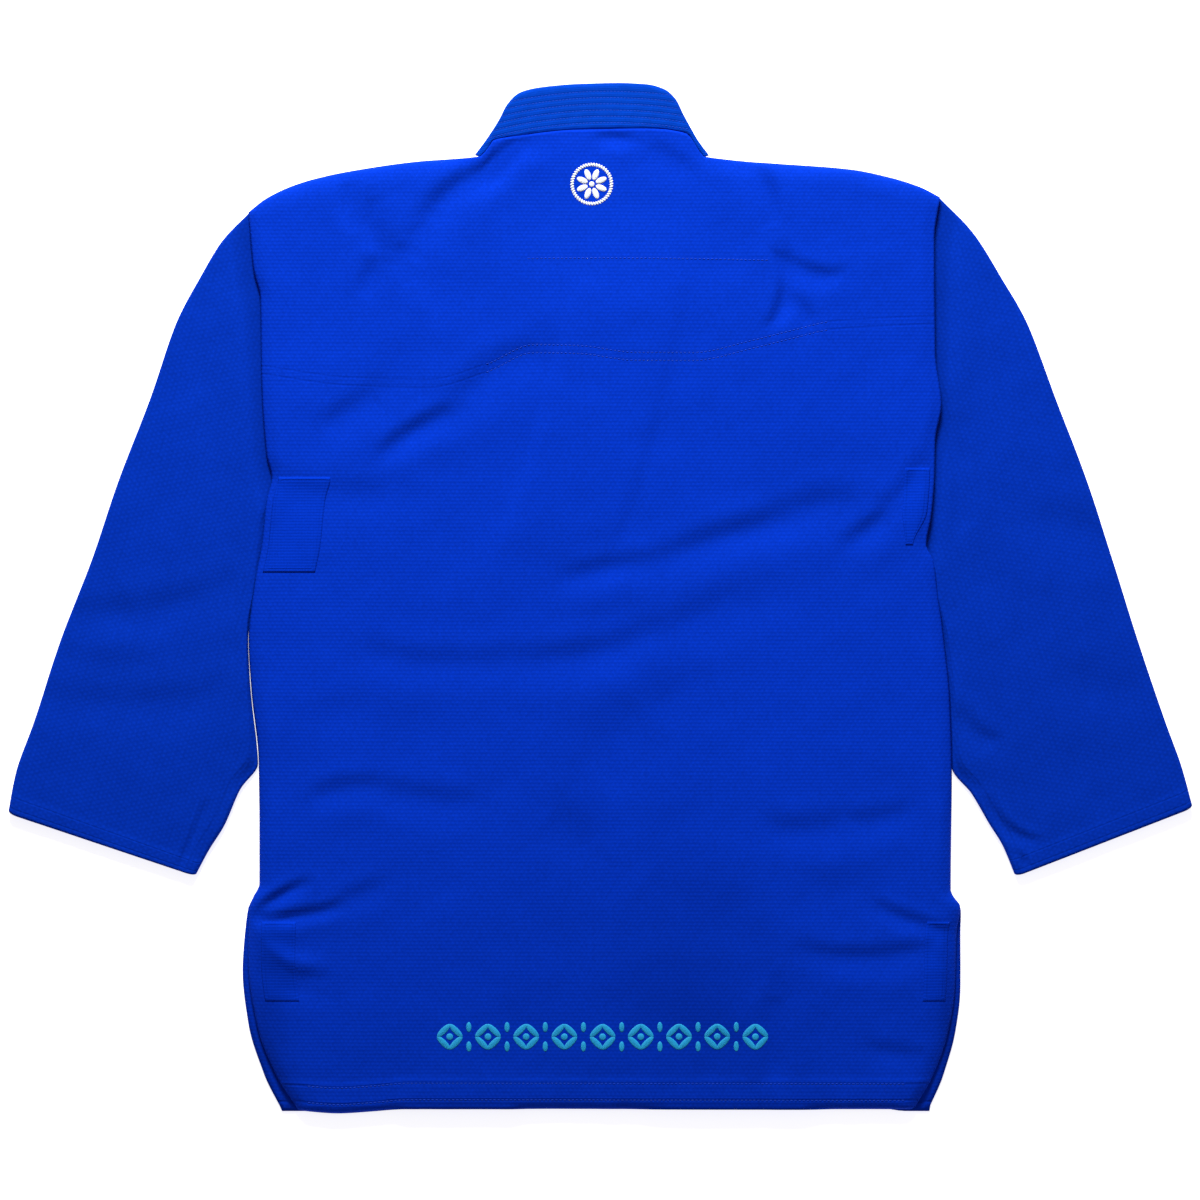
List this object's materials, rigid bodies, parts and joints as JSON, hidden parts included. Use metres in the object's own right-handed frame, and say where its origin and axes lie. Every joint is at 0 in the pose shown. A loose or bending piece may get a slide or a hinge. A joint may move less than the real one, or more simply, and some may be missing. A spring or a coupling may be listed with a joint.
{
  "type": "jiu-jitsu gi jacket laid flat",
  "caption": "Blue pearl-weave grappling jacket laid face down with its back up, sleeves lowered and fronts crossed underneath.",
  "frame": {"origin": "centre of the jacket's outline, on the surface that it lies on", "axes": "+X across the jacket towards the wearer's right, +Y up it towards the collar, +Z up off the surface"},
  "size_m": [1.0414, 0.9052, 0.0124],
  "materials": {
    "pearl_cloth": "matt pearl-weave cotton",
    "lapel_cloth": "matt ribbed cotton over a padded core",
    "patch_cloth": "matt pearl-weave cotton"
  },
  "bodies": {
    "root": {"back_panel": "pearl_cloth", "left_front": "pearl_cloth", "right_front": "pearl_cloth", "left_sleeve": "pearl_cloth", "right_sleeve": "pearl_cloth", "neck_band": "lapel_cloth", "left_lapel": "lapel_cloth", "right_lapel": "lapel_cloth", "left_gusset": "patch_cloth", "right_gusset": "patch_cloth", "left_vent_patch": "patch_cloth", "right_vent_patch": "patch_cloth"}
  },
  "joints": []
}
